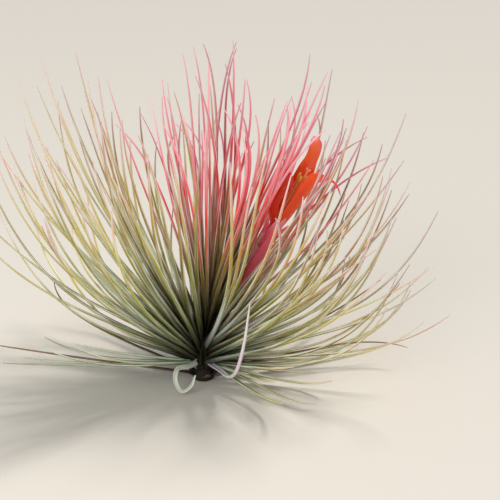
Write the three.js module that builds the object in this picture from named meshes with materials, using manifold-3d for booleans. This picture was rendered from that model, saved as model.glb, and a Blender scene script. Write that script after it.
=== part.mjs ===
// Tillandsia andreana, an air plant in flower: a rosette of thread-fine leaves that radiate from a
// short stem, green outside and flushed pink in the heart, round one scarlet flower on a short stalk.
// Millimetres, +Z up. The origin is the middle of the flat spot that the stem rests on, +X is the
// side that the flower leans to, and the front is -Y.

import Module from "manifold-3d";
import * as THREE from "three";
import { mergeVertices } from "three/addons/utils/BufferGeometryUtils.js";

const wasm = await Module();
wasm.setup();

// Driving dimensions of the plant
const GAP = 0.3; // between neighbouring pieces
const CROWN_HEIGHT = 14; // where the leaves converge
const LEAF_REACH = 126; // from the crown to a leaf tip
const LEAF_WIDTH = 2.2; // just above the sheath
const LAID_WIDTH = 2.6; // of the folded leaf and the bent one
const LEAF_DEPTH_SHARE = 0.62; // depth of a leaf over its width
const TIP_SHARE = 0.45; // width of a blunt tip over that at the foot
const SAG = 0.2; // how far leaves arch outwards before they rise
const GREEN_COUNT = 144;
const LOW_COUNT = 12; // short old leaves that lie out low on both sides
const HEART_COUNT = 66;
const DEAD_COUNT = 6;
const ROSETTE_LEAN = { right: 7, back: 12 }; // degrees
const HEART_LEAN = { right: 13, back: 8 };
const FLOWER_LEAN = { right: 30, back: 5 };
const DEAD_FIRST = 192; // degrees, where the first dead leaf points
const DEAD_STEP = -38;
const PETAL_THICKNESS = 0.7;
// One old leaf folded back on itself in front of the foot, and a pale one bent up beside it
const FOLD = [
  [-1, -3.5, 10],
  [-5.5, -9, 9.5],
  [-10, -13, 9.8],
  [-10.6, -16, 6],
  [-8, -17.5, 2],
  [-4.4, -17, 4],
  [-2.6, -15, 8],
];
const BENT = [
  [2, -4, 9],
  [7, -12, 9],
  [11, -21, 10],
  [14, -28, 15],
  [17, -31, 27],
  [19.5, -32, 45],
];

// Rules of growth
const GOLDEN_ANGLE = 137.508; // degrees from one leaf to the next
const PATH_STEPS = 25; // steps along a leaf's path
const LEAF_SEGMENTS = 5; // faceted lengths of a leaf
const ROUND_SIDES = 16; // of a turned form
const LEAF_ROOM = 0.58; // half of the room round a leaf, keel included, over its width
const FINEST_FACET = 0.02; // detail below this is smoothed away where pieces are fused
const TURN_STEP = 2.5; // degrees by which a leaf is bent aside where it would cross another
const TURN_TRIES = 90;

const UP = new THREE.Vector3(0, 0, 1);
const CROWN = new THREE.Vector3(0, 0, CROWN_HEIGHT);
const radians = THREE.MathUtils.degToRad;
const lerp = THREE.MathUtils.lerp;

// Random draws: the same plant grows every time
let seed = 7;
function draw(low, high) {
  seed = (Math.imul(seed, 1664525) + 1013904223) >>> 0;
  return low + ((high - low) * seed) / 4294967296;
}

// An axis through the crown, leaning right and back, with the two directions square to it
function growthAxis({ right, back }) {
  const along = new THREE.Vector3(Math.tan(radians(right)), Math.tan(radians(back)), 1).normalize();
  const rear = along.clone().cross(new THREE.Vector3(1, 0, 0)).normalize();
  const side = rear.clone().cross(along);
  return { along, side, rear };
}

const rosetteAxis = growthAxis(ROSETTE_LEAN);
const stemAxis = growthAxis({ right: 0, back: 0 });
const heartAxis = growthAxis(HEART_LEAN);
const flowerAxis = growthAxis(FLOWER_LEAN);

function axisPoint(axis, height, radius = 0, azimuth = 0) {
  return CROWN.clone()
    .addScaledVector(axis.along, height)
    .addScaledVector(axis.side, radius * Math.cos(azimuth))
    .addScaledVector(axis.rear, radius * Math.sin(azimuth));
}

// Geometry to solid, solid to geometry
function toSolid(geometry) {
  geometry.deleteAttribute("normal");
  geometry.deleteAttribute("uv");
  const merged = mergeVertices(geometry, 1e-4);
  const corners = merged.index.array;
  const kept = [];
  for (let i = 0; i < corners.length; i += 3) {
    const [a, b, c] = [corners[i], corners[i + 1], corners[i + 2]];
    if (a !== b && b !== c && a !== c) {
      kept.push(a, b, c);
    }
  }
  const mesh = new wasm.Mesh({
    numProp: 3,
    vertProperties: merged.attributes.position.array,
    triVerts: Uint32Array.from(kept),
  });
  return new wasm.Manifold(mesh);
}

function toGeometry(solid) {
  const mesh = solid.getMesh();
  const geometry = new THREE.BufferGeometry();
  geometry.setAttribute("position", new THREE.BufferAttribute(mesh.vertProperties, 3));
  geometry.setIndex(new THREE.BufferAttribute(mesh.triVerts, 1));
  geometry.computeVertexNormals();
  return geometry;
}

// One fused body: loose scraps are dropped and hollows that the fusing sealed are filled
function fuse(solids) {
  const joined = wasm.Manifold.union(solids).simplify(FINEST_FACET);
  return oneBody(joined);
}

function oneBody(solid) {
  return solid.decompose().reduce((best, part) => (part.volume() > best.volume() ? part : best));
}

// A turned form about +Z: points of [radius, height] from axis to axis
function turned(profile, sides) {
  const outline = profile.map(([radius, height]) => new THREE.Vector2(radius, height));
  return toSolid(new THREE.LatheGeometry(outline, sides).rotateX(Math.PI / 2));
}

// The matrix that carries +Z to an axis through the crown
function placeOn({ along, side, rear }) {
  return new THREE.Matrix4().makeBasis(side, rear, along).setPosition(CROWN);
}

// Leaves
function leafWidth(leaf, share) {
  return leaf.breadth * lerp(TIP_SHARE, 1, (1 - share) ** 1.4);
}

// The middle line of a leaf: it leaves its root along aim, sags, then bends upwards by lift and
// sideways by sway, hooks aside at its tip, and lies on the surface where it would sink below it
function leafPath(leaf, { root, aim, side, length, lift, sway, hook }) {
  const points = [root];
  for (let i = 0; i < PATH_STEPS; i++) {
    const share = (i + 0.5) / PATH_STEPS;
    const heading = aim
      .clone()
      .addScaledVector(UP, lift * share ** 2.6 - SAG * share)
      .addScaledVector(side, sway * share + hook * share ** 6)
      .normalize();
    const next = points[i].clone().addScaledVector(heading, length / PATH_STEPS);
    next.z = Math.max(next.z, leafWidth(leaf, (i + 1) / PATH_STEPS) * LEAF_DEPTH_SHARE);
    points.push(next);
  }
  return points;
}

// A leaf grown from an axis: rise is its angle above the axis's own level plane
function grownLeaf(axis, growth) {
  const { height, radius, azimuth, rise, breadth } = growth;
  const outward = axis.side
    .clone()
    .multiplyScalar(Math.cos(azimuth))
    .addScaledVector(axis.rear, Math.sin(azimuth));
  const side = axis.along.clone().cross(outward);
  const aim = outward.multiplyScalar(Math.cos(rise)).addScaledVector(axis.along, Math.sin(rise));
  const root = axisPoint(axis, height, radius, azimuth);
  const leaf = { side, breadth };
  leaf.path = leafPath(leaf, { ...growth, root, aim, side });
  leaf.line = facetedLine(leaf.path);
  return leaf;
}

// The faceted corners of a middle line
function facetedLine(path) {
  const stride = PATH_STEPS / LEAF_SEGMENTS;
  return path.filter((point, i) => i % stride === 0);
}

// A three-sided prism bent along the leaf, flat above with its keel below, and narrowing to the tip
function leafSolid(leaf) {
  const { line, side } = leaf;
  const sides = 3;
  const prism = new THREE.CylinderGeometry(1, 1, 1, sides, LEAF_SEGMENTS);
  const place = prism.attributes.position;
  for (let i = 0; i < place.count; i++) {
    const share = place.getY(i) + 0.5;
    const ring = Math.round(share * LEAF_SEGMENTS);
    const ahead = line[Math.min(ring + 1, LEAF_SEGMENTS)];
    const behind = line[Math.max(ring - 1, 0)];
    const along = ahead.clone().sub(behind).normalize();
    const under = side.clone().cross(along).normalize();
    const across = along.clone().cross(under);
    const width = leafWidth(leaf, share);
    const point = line[ring]
      .clone()
      .addScaledVector(across, place.getX(i) * width * Math.sqrt(1 / 3))
      .addScaledVector(under, (place.getZ(i) * width * LEAF_DEPTH_SHARE * 2) / 3);
    place.setXYZ(i, point.x, point.y, point.z);
  }
  return toSolid(prism);
}

// Least distance between two straight lengths, from p to q and from r to s
function lengthDistance(p, q, r, s) {
  const u = q.clone().sub(p);
  const v = s.clone().sub(r);
  const w = p.clone().sub(r);
  const a = u.dot(u);
  const b = u.dot(v);
  const c = u.dot(w);
  const e = v.dot(v);
  const f = v.dot(w);
  const clamp = THREE.MathUtils.clamp;
  const spread = a * e - b * b;
  let m = spread > 1e-9 ? clamp((b * f - c * e) / spread, 0, 1) : 0;
  let n = (b * m + f) / e;
  if (n < 0) {
    n = 0;
    m = clamp(-c / a, 0, 1);
  } else if (n > 1) {
    n = 1;
    m = clamp((b - c) / a, 0, 1);
  }
  return w.addScaledVector(u, m).addScaledVector(v, -n).length();
}

// Half of the room that a leaf's faceted length takes up, its keel included
function leafRoom(leaf, i) {
  return LEAF_ROOM * leafWidth(leaf, i / LEAF_SEGMENTS);
}

function touches(leaf, other) {
  for (let i = 0; i < LEAF_SEGMENTS; i++) {
    for (let j = 0; j < LEAF_SEGMENTS; j++) {
      const room = leafRoom(leaf, i) + leafRoom(other, j) + GAP;
      const apart = lengthDistance(leaf.line[i], leaf.line[i + 1], other.line[j], other.line[j + 1]);
      if (apart < room) {
        return true;
      }
    }
  }
  return false;
}

function enters(leaf, { from, to, radius }) {
  return leaf.line.slice(1).some((end, i) => {
    const apart = lengthDistance(leaf.line[i], end, from, to);
    return apart < radius + leafRoom(leaf, i) + GAP;
  });
}

// The first of the leaf's turns, left and right in growing steps, that crosses nothing
function clearLeaf(axis, growth, others, rooms) {
  for (let attempt = 0; attempt < TURN_TRIES; attempt++) {
    const turn = Math.ceil(attempt / 2) * (attempt % 2 ? 1 : -1) * radians(TURN_STEP);
    const leaf = grownLeaf(axis, { ...growth, azimuth: growth.azimuth + turn });
    const crosses = (other) => touches(leaf, other);
    const entersRoom = (room) => enters(leaf, room);
    if (!rooms.some(entersRoom) && !others.some(crosses)) {
      return leaf;
    }
  }
  return null;
}

// Petals: the middle line of each as [distance from the flower's axis, height], first up the claw
// that all three share and then on its own, the direction that it spreads to, how far its tip leans
// aside, and where it narrows to its lobe
const CLAW = [
  [1.1, 50.3],
  [1.6, 54],
  [2.6, 60],
];
const PETALS = [
  {
    towards: -30,
    aside: 0,
    lobeHalf: 2.7,
    narrows: [0.55, 0.8],
    line: [[3.6, 66], [4.9, 76], [5.7, 82], [7.6, 85.6], [10.6, 87], [14, 86.8], [17.6, 84.4]],
  },
  {
    towards: 88,
    aside: 3.4,
    lobeHalf: 2.7,
    narrows: [0.44, 0.66],
    line: [[3.6, 66], [4.8, 76], [5.6, 85.5], [6.9, 90.5], [8.3, 94], [9.9, 96.5], [11.9, 97.9]],
  },
  {
    towards: 200,
    aside: 0,
    lobeHalf: 3.4,
    narrows: [0.7, 0.95],
    line: [[6, 64], [8.8, 68.5], [9.9, 74], [10, 79], [10.4, 83], [11.8, 85.4]],
  },
];
const LOBE_ROOM = 3.6;
// The leaves part in front of the flower: from these heights on it this much room stays free
const FRONT = new THREE.Vector3(0, -0.95, 0.31);
const WINDOW_HEIGHTS = [62, 71, 80];
const WINDOW_DEPTH = 42;
const WINDOW_RADIUS = 4;

// The room that the heart and the flower take up, as lengths with a radius
function roomOn(axis, from, to, radius) {
  return { from: axisPoint(axis, from), to: axisPoint(axis, to), radius };
}
const heartRoom = roomOn(heartAxis, 9, 23, 3.9);
const flowerRooms = [
  roomOn(flowerAxis, 20, 37, 1.6),
  roomOn(flowerAxis, 37, 46, 3.2),
  roomOn(flowerAxis, 46, 64, 5),
  roomOn(flowerAxis, 64, 88, 6.8),
  ...WINDOW_HEIGHTS.map((height) => {
    const from = axisPoint(flowerAxis, height);
    return { from, to: from.clone().addScaledVector(FRONT, WINDOW_DEPTH), radius: WINDOW_RADIUS };
  }),
  ...PETALS.flatMap(({ towards, line }) => {
    const places = line.map(([reach, height]) => axisPoint(flowerAxis, height, reach, radians(towards)));
    return places.slice(1).map((to, i) => ({ from: places[i], to, radius: LOBE_ROOM }));
  }),
];

function greenLeaves() {
  const leaves = [];
  for (let i = 0; i < GREEN_COUNT; i++) {
    const age = 1 - (i + 0.5) / GREEN_COUNT; // 1 for the oldest and lowest leaf
    let azimuth = radians(i * GOLDEN_ANGLE + draw(-9, 9));
    const parted = lerp(0.08, 0.53, age) * Math.max(0, -Math.sin(azimuth)) ** 3; // those in front
    azimuth += parted * Math.sign(Math.cos(azimuth));
    const front = Math.max(0, -Math.sin(azimuth));
    const right = Math.max(0, Math.cos(azimuth));
    const left = Math.max(0, -Math.cos(azimuth));
    leaves.push({
      azimuth,
      breadth: LEAF_WIDTH,
      height: lerp(5, -5.5, age),
      radius: lerp(5, 4, age),
      rise: Math.asin(lerp(0.8, -0.01, age ** 1.2)) + radians(draw(-6, 6) + (24 * front + 8 * left) * age),
      length: LEAF_REACH * draw(0.84, 1.05) * (1 - 0.2 * right * age) * (1 - 0.25 * front * (1 - age)),
      lift: lerp(2.8, 2.2, age) * draw(0.4, 1.7) * (1 - 0.5 * front),
      sway: draw(-0.5, 0.5),
      hook: draw(-1.2, 1.2),
    });
  }
  return leaves;
}

function lowLeaves() {
  const leaves = [];
  for (let i = 0; i < LOW_COUNT; i++) {
    const left = i % 2 === 1;
    leaves.push({
      azimuth: radians(left ? draw(-178, -120) : draw(-44, 4)),
      breadth: LEAF_WIDTH,
      height: -6,
      radius: 4.2,
      rise: radians(draw(-10, 12)),
      length: LEAF_REACH * (left ? draw(0.34, 0.64) : draw(0.28, 0.48)),
      lift: draw(0.2, 1.2),
      sway: draw(-0.8, 0.8),
      hook: draw(-1.5, 1.5),
    });
  }
  return leaves;
}

function heartLeaves() {
  const leaves = [];
  for (let i = 0; i < HEART_COUNT; i++) {
    const age = 1 - (i + 0.5) / HEART_COUNT;
    leaves.push({
      azimuth: radians(i * GOLDEN_ANGLE + draw(-12, 12)),
      breadth: LEAF_WIDTH * 0.9,
      height: lerp(20, 8, age),
      radius: lerp(2.1, 2.6, age),
      rise: radians(lerp(80, 56, age) + draw(-4, 4)),
      length: (LEAF_REACH - 20) * draw(0.8, 1.06),
      lift: draw(0, 1.6),
      sway: draw(-0.45, 0.45),
      hook: draw(-1.5, 1.5),
    });
  }
  return leaves;
}

// Thin dead leaves that still hang on the stem below the green ones
function deadLeaves() {
  const leaves = [];
  for (let i = 0; i < DEAD_COUNT; i++) {
    leaves.push({
      azimuth: radians(DEAD_FIRST + i * DEAD_STEP + draw(-10, 10)),
      breadth: LEAF_WIDTH * 0.75,
      height: 2.6 - CROWN_HEIGHT,
      radius: 2.4,
      rise: radians(draw(8, 20)),
      length: LEAF_REACH * draw(0.5, 0.75),
      lift: draw(-0.2, 0.6),
      sway: draw(-0.5, 0.5),
      hook: draw(-2, 2),
    });
  }
  return leaves;
}

function grow(axis, growths, others, rooms) {
  return growths.map((growth) => clearLeaf(axis, growth, others, rooms)).filter(Boolean);
}

// A leaf along a smooth line through given corners
function laidLeaf(corners, side) {
  const curve = new THREE.CatmullRomCurve3(corners.map((corner) => new THREE.Vector3(...corner)));
  const path = curve.getPoints(PATH_STEPS);
  return { path, line: facetedLine(path), side, breadth: LAID_WIDTH };
}

const green = [
  ...grow(rosetteAxis, [...greenLeaves(), ...lowLeaves()], [], [heartRoom, ...flowerRooms]),
  laidLeaf(FOLD, new THREE.Vector3(0, 1, 0)),
  laidLeaf(BENT, new THREE.Vector3(1, 0, 0)),
];
const heart = grow(heartAxis, heartLeaves(), green, flowerRooms);
const dead = grow(stemAxis, deadLeaves(), green, []);

// The stem: a short woody stub with a flat foot and a peg that the leaf sheaths sit on
const stemProfile = [
  [0, 0],
  [3.8, 0],
  [4.4, 0.8],
  [4.2, 2.6],
  [3.4, 4.2],
  [2.4, 5.2],
  [2.2, 9.5],
  [0, 9.8],
];
const stemRoom = turned(
  stemProfile.map(([radius, height]) => [radius && radius + GAP, height && height + GAP]),
  ROUND_SIDES,
);

// A thin blade over a surface of (across, along) from -1 to 1 and from 0 to 1, both faces split
// into triangles alike
function bladeSolid(surface, thickness, columns, rows) {
  const corners = [];
  for (const half of [0.5, -0.5]) {
    for (let row = 0; row <= rows; row++) {
      for (let column = 0; column <= columns; column++) {
        const across = (2 * column) / columns - 1;
        const along = row / rows;
        const middle = surface(across, along);
        const step = 0.01;
        const overAcross = surface(across + step, along).sub(surface(across - step, along));
        const overAlong = surface(across, along + step).sub(surface(across, along - step));
        const out = overAcross.cross(overAlong).normalize();
        corners.push(middle.addScaledVector(out, half * thickness));
      }
    }
  }
  const width = columns + 1;
  const back = width * (rows + 1);
  const faces = [];
  for (let row = 0; row < rows; row++) {
    for (let column = 0; column < columns; column++) {
      const a = row * width + column;
      const [b, c, d] = [a + 1, a + width + 1, a + width];
      faces.push(a, b, c, a, c, d);
      faces.push(back + a, back + c, back + b, back + a, back + d, back + c);
    }
  }
  const rim = [];
  for (let column = 0; column < columns; column++) {
    rim.push(column);
  }
  for (let row = 0; row < rows; row++) {
    rim.push(row * width + columns);
  }
  for (let column = columns; column > 0; column--) {
    rim.push(rows * width + column);
  }
  for (let row = rows; row > 0; row--) {
    rim.push(row * width);
  }
  rim.forEach((a, i) => {
    const b = rim[(i + 1) % rim.length];
    faces.push(a, back + a, back + b, a, back + b, b);
  });
  const geometry = new THREE.BufferGeometry().setFromPoints(corners);
  geometry.setIndex(faces);
  return toSolid(geometry);
}

// A blade that stands round an axis: line is its middle as [distance, height], halfWidth(along) its
// width, and it curls round the axis by the radius of bend(along); lap sets one edge outside the
// other, and aside leans the tip along the blade's width
function standingBlade({ line, towards, halfWidth, bend, lap = 0, aside = 0, thickness, columns, rows }) {
  const corners = line.map(([distance, height]) => new THREE.Vector2(distance, height));
  const middle = new THREE.SplineCurve(corners);
  const turn = radians(towards);
  const outward = new THREE.Vector3(Math.cos(turn), Math.sin(turn), 0);
  const across = new THREE.Vector3(-Math.sin(turn), Math.cos(turn), 0);
  return bladeSolid(
    (u, share) => {
      const v = THREE.MathUtils.clamp(share, 0, 1);
      const at = middle.getPoint(v);
      const heading = middle.getTangent(v);
      const out = outward.clone().multiplyScalar(heading.y).addScaledVector(UP, -heading.x);
      const angle = (u * halfWidth(v)) / bend(v);
      return outward
        .clone()
        .multiplyScalar(at.x)
        .addScaledVector(UP, at.y)
        .addScaledVector(outward, heading.x * (share - v))
        .addScaledVector(UP, heading.y * (share - v))
        .addScaledVector(across, bend(v) * Math.sin(angle) + aside * v ** 4)
        .addScaledVector(out, bend(v) * (Math.cos(angle) - 1) + lap * u);
    },
    thickness,
    columns,
    rows,
  );
}

// The stem with its dry sheaths, that ring it like scales, and the dead leaves
const SHEATH_COUNT = 7;
const sheaths = Array.from({ length: SHEATH_COUNT }, (unused, i) =>
  standingBlade({
    line: [[2.6, 1.2 + 0.13 * i], [5, 1.9 + 0.13 * i], [7.2, 3.4 + 0.13 * i], [8.6, 5]],
    towards: 11 + i * GOLDEN_ANGLE,
    halfWidth: (v) => lerp(2.2, 0.4, v * v),
    bend: () => 3.4,
    thickness: 0.6,
    columns: 2,
    rows: 3,
  }),
);
const stemSolid = fuse([turned(stemProfile, ROUND_SIDES), ...sheaths, ...dead.map(leafSolid)]);

// The green rosette: a small core that the leaves stand out of, hollowed for the stem's peg below
// and for the heart above
const greenCore = turned([[0, -8], [4.2, -8], [5.9, -4], [6.5, 0], [6.4, 4], [5.6, 7.5], [0, 7.5]], 12);
const heartHole = turned([[0, -GAP], [3.5, -GAP], [3.7, 9], [3.8, 15], [0, 15]], ROUND_SIDES);
const greenSolid = oneBody(
  fuse([greenCore.transform(placeOn(rosetteAxis).elements), ...green.map(leafSolid)])
    .subtract(stemRoom)
    .subtract(heartHole.transform(placeOn(heartAxis).elements)),
);

// The heart: a slender core in the green one's hole, with a hole of its own for the flower's stalk
const heartCore = turned(
  [
    [0, 0],
    [3.2, 0],
    [3.4, 9],
    [3.5, 13],
    [3, 20],
    [2.4, 25],
    [0, 25],
  ],
  ROUND_SIDES,
);
const stalkHole = turned([[0, 12 - GAP], [1.6, 12 - GAP], [1.7, 33], [0, 33]], 12);
const heartSolid = oneBody(
  fuse([heartCore.transform(placeOn(heartAxis).elements), ...heart.map(leafSolid)]).subtract(
    stalkHole.transform(placeOn(flowerAxis).elements),
  ),
);

// The flower, from here on in its own frame: +Z along its axis, from the crown. The stalk widens to
// a cup that holds the petals' foot.
const stalk = turned(
  [
    [0, 12],
    [1.25, 12],
    [1.3, 34],
    [1.6, 38],
    [2.1, 44],
    [2.6, 50],
    [3, 54.5],
    [2.4, 54.5],
    [1.9, 49.7],
    [0, 49.7],
  ],
  ROUND_SIDES,
);
const SEPAL_TURN = 20;
const sepals = [0, 120, 240].map((towards) =>
  standingBlade({
    line: [[2.25, 49], [2.8, 53], [4.1, 58], [5.4, 62]],
    towards: towards + SEPAL_TURN,
    halfWidth: (v) => lerp(2.4, 0.35, v * v),
    bend: () => 3.2,
    thickness: 0.6,
    columns: 4,
    rows: 3,
  }),
);
const bract = standingBlade({
  line: [[0.9, 34], [1.8, 40], [3, 49], [3.9, 56], [4.5, 61], [5.2, 65]],
  towards: -70,
  halfWidth: (v) => lerp(2.6, 0.35, v * v),
  bend: () => 3.2,
  thickness: 0.6,
  columns: 4,
  rows: 5,
});
const stalkSolid = fuse([stalk, ...sepals, bract]);

// Half the width of a petal at a share v of its way: it wraps the tube by a fixed angle, narrows past
// the mouth where its lobe starts, and is rounded at its tip
const TUBE_WRAP = 1.35; // radians, to each side
const TIP_HALF = 0.6;
const TIP_STARTS = 0.8;
const petalBend = (v) => lerp(1.2, 6.2, v);
function petalHalfWidth(v, lobeHalf, [from, to]) {
  const narrowed = lerp(TUBE_WRAP * petalBend(v), lobeHalf, THREE.MathUtils.smoothstep(v, from, to));
  return lerp(narrowed, TIP_HALF, Math.max(0, (v - TIP_STARTS) / (1 - TIP_STARTS)) ** 2);
}

const plug = turned([[0, 50], [1.4, 50], [1.6, 53], [0, 53]], 18);
const petalSolid = fuse([
  plug,
  ...PETALS.map(({ line, narrows, towards, lobeHalf, aside }) =>
    standingBlade({
      line: [...CLAW, ...line],
      towards,
      aside,
      halfWidth: (v) => petalHalfWidth(v, lobeHalf, narrows),
      bend: petalBend,
      lap: 0.4,
      thickness: PETAL_THICKNESS,
      columns: 4,
      rows: 12,
    }),
  ),
]);

// Six stamens and the style, that stand on the petals' foot inside the throat
const FILAMENT = new THREE.Shape(
  Array.from({ length: 4 }, (unused, i) => {
    const angle = (i * Math.PI) / 2;
    return new THREE.Vector2(0.34 * Math.cos(angle), 0.34 * Math.sin(angle));
  }),
);
function thread(corners, knobRadius, knobLength) {
  const curve = new THREE.CatmullRomCurve3(corners);
  const rod = new THREE.ExtrudeGeometry(FILAMENT, { extrudePath: curve, steps: 4 });
  const knob = new THREE.SphereGeometry(knobRadius, 5, 4).rotateX(Math.PI / 2);
  knob.scale(1, 1, knobLength / knobRadius);
  const end = corners[corners.length - 1];
  return [toSolid(rod), toSolid(knob.translate(end.x, end.y, end.z))];
}
const STAMEN_COUNT = 6;
const stamens = Array.from({ length: STAMEN_COUNT }, (unused, i) => {
  const angle = (i * 2 * Math.PI) / STAMEN_COUNT;
  const [x, y] = [Math.cos(angle), Math.sin(angle)];
  const at = (radius, height) => new THREE.Vector3(radius * x, radius * y, height);
  return thread([at(0.35, 53.8), at(0.7, 58), at(1.7, 72), at(1.9, 81 + (i % 2))], 0.6, 1.6);
}).flat();
const styleLine = [[0, 0, 53.8], [0, 0, 70], [0.2, 0.2, 86]].map((corner) => new THREE.Vector3(...corner));
const style = thread(styleLine, 0.7, 0.8);
const stamenFoot = turned([[0, 53 + GAP], [0.8, 53 + GAP], [0.9, 55], [0, 56]], 10);
const stamenSolid = fuse([stamenFoot, ...stamens, ...style]);

// The plant
function piece(name, solid, colour, roughness) {
  const material = new THREE.MeshStandardMaterial({ color: colour, roughness, metalness: 0 });
  const mesh = new THREE.Mesh(toGeometry(solid), material);
  mesh.name = name;
  return mesh;
}

const flower = new THREE.Group();
flower.applyMatrix4(placeOn(flowerAxis));
flower.add(piece("flower_stalk", stalkSolid, "#c83a50", 0.55));
flower.add(piece("petals", petalSolid, "#e8401c", 0.45));
flower.add(piece("stamens_and_style", stamenSolid, "#f0c23c", 0.6));

const plant = new THREE.Group();
plant.add(piece("stem", stemSolid, "#4a3424", 0.85));
plant.add(piece("green_leaves", greenSolid, "#8c8a45", 0.6));
plant.add(piece("heart_leaves", heartSolid, "#d9606a", 0.6));
plant.add(flower);

export default plant;
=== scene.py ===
# %% [markdown]
# Tillandsia andreana in flower
#
# This air plant has no roots to speak of. A short woody stem carries a dome of thread-fine leaves,
# olive green outside and flushed pink in the heart, and one scarlet flower on a short stalk. The
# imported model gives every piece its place. Here each piece gets its fine shape and its finish.

# %% Load the frame
import math

import bpy
import numpy as np
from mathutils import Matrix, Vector


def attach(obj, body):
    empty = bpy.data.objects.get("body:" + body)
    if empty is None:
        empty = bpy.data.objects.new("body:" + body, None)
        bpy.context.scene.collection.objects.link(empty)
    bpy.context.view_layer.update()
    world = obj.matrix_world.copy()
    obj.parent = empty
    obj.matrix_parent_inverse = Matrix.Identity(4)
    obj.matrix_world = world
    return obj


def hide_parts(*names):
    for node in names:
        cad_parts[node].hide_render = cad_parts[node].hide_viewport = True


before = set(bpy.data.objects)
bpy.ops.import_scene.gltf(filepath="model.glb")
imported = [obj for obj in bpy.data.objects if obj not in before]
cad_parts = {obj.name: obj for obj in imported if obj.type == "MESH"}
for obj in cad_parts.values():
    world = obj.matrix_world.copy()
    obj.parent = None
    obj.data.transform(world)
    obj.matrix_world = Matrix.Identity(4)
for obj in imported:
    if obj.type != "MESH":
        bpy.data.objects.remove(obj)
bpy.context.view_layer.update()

MM = 0.001
print("nodes:", ", ".join(sorted(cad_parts)))

# %% [markdown]
# The camera stands low in front of the plant and close to it. The photograph gives the place of
# the crown, where the leaves converge, and the plant's own size gives the scale there. From these
# two the camera's place follows with no lens shift, so any other view can use the same lens.

# %% Camera
PHOTO_SIZE = 500
CROWN_PIXEL = (203, 347)
MM_PER_PIXEL = 0.416
CROWN_HEIGHT = 14
CAMERA_DISTANCE = 480
CAMERA_TILT = math.radians(18)
SENSOR = 36

crown = np.array([0.0, 0.0, CROWN_HEIGHT])
look = np.array([0.0, math.cos(CAMERA_TILT), -math.sin(CAMERA_TILT)])
above = np.array([0.0, math.sin(CAMERA_TILT), math.cos(CAMERA_TILT)])
right_of_middle = (CROWN_PIXEL[0] - PHOTO_SIZE / 2) * MM_PER_PIXEL
below_middle = (CROWN_PIXEL[1] - PHOTO_SIZE / 2) * MM_PER_PIXEL
place = crown - look * CAMERA_DISTANCE + above * below_middle - np.array([right_of_middle, 0, 0])

camera = bpy.data.objects.new("camera", bpy.data.cameras.new("camera"))
camera.data.sensor_width = SENSOR
camera.data.lens = SENSOR * CAMERA_DISTANCE / (PHOTO_SIZE * MM_PER_PIXEL)
camera.data.clip_start = 10 * MM
camera.location = Vector(place * MM)
camera.rotation_euler = (math.pi / 2 - CAMERA_TILT, 0, 0)
bpy.context.scene.collection.objects.link(camera)
bpy.context.scene.camera = camera
print("lens", round(camera.data.lens, 1), "mm, camera at", [round(c) for c in place], "mm")

# %% [markdown]
# Two small helpers serve every finish and every node tree. A colour is written as the hex value that
# an eye-dropper shows, and turned to the linear values that Blender works in. A node is added with
# its settings and its links in one call, so that a tree reads from top to bottom.

# %% Colours and nodes
def linear(code):
    """The linear colour of an sRGB hex value."""
    values = [int(code[i : i + 2], 16) / 255 for i in (1, 3, 5)]
    return (*[v / 12.92 if v <= 0.04045 else ((v + 0.055) / 1.055) ** 2.4 for v in values], 1)


def add(tree, kind, inputs=(), stops=(), **settings):
    """The outputs of a new node. An input is a value or another node's output; stops fill a ramp."""
    node = tree.nodes.new(kind)
    for name, value in settings.items():
        setattr(node, name, value)
    for name, value in dict(inputs).items():
        if isinstance(value, bpy.types.NodeSocket):
            tree.links.new(value, node.inputs[name])
        else:
            node.inputs[name].default_value = value
    for i, (place, code) in enumerate(stops):
        elements = node.color_ramp.elements
        element = elements[i] if i < 2 else elements.new(place)
        element.position, element.color = place, linear(code)
    return node.outputs


def new_finish(name, roughness, **surface):
    """A new material with its tree and main shader; what is the same all over goes on the sockets."""
    material = bpy.data.materials.new(name)
    material.use_nodes = True
    shader = material.node_tree.nodes["Principled BSDF"]
    shader.inputs["Roughness"].default_value = roughness
    for socket, value in surface.items():
        shader.inputs[socket.replace("_", " ")].default_value = value
    return material, material.node_tree, shader


print("the grey #808080 is", round(linear("#808080")[0], 3), "in linear light")

# %% [markdown]
# A leaf grows by a rule. Each one starts a golden angle on from the last, the oldest lowest and
# flattest, the youngest highest and steepest. It leaves the stem along its aim, sags a little, bends
# up towards the light and aside, and may hook at its tip. The leaves could be drawn one by one, but
# a rule makes two hundred that differ as real ones do. The random draws are seeded, and the frame
# was grown by the same rule with the same draws, so each fine leaf lies where its plain one does.

# %% Sizes of the growth
# Lengths are in millimetres until a mesh is made of them
LEAF_REACH = 126
LEAF_WIDTH = 2.2
LEAF_DEPTH_SHARE = 0.62
TIP_SHARE = 0.45
TAPER = 1.4
SAG = 0.2
LIFT_POWER = 2.6
HOOK_POWER = 6
GREEN_COUNT = 144
LOW_COUNT = 12
HEART_COUNT = 66
DEAD_COUNT = 6
GOLDEN_ANGLE = 137.508
PATH_STEPS = 25
SEGMENTS = 5
print("leaves to grow:", GREEN_COUNT + LOW_COUNT, "green,", HEART_COUNT, "pink,", DEAD_COUNT, "dead")

# %% Seeded draws and directions
UP = np.array([0.0, 0.0, 1.0])


class Draws:
    """Seeded random draws, each between a low and a high value."""

    def __init__(self, seed):
        self.seed = seed

    def __call__(self, low, high):
        self.seed = (self.seed * 1664525 + 1013904223) % 2**32
        return low + (high - low) * self.seed / 2**32


draw = Draws(7)


def unit(vectors):
    return vectors / np.linalg.norm(vectors, axis=-1, keepdims=True)


def lerp(start, end, share):
    return start + (end - start) * share


def growth_axis(right, back):
    """The directions along an axis through the crown, to its side and to its rear."""
    along = unit(np.array([math.tan(math.radians(right)), math.tan(math.radians(back)), 1.0]))
    rear = unit(np.cross(along, [1.0, 0.0, 0.0]))
    return np.cross(rear, along), rear, along


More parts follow.
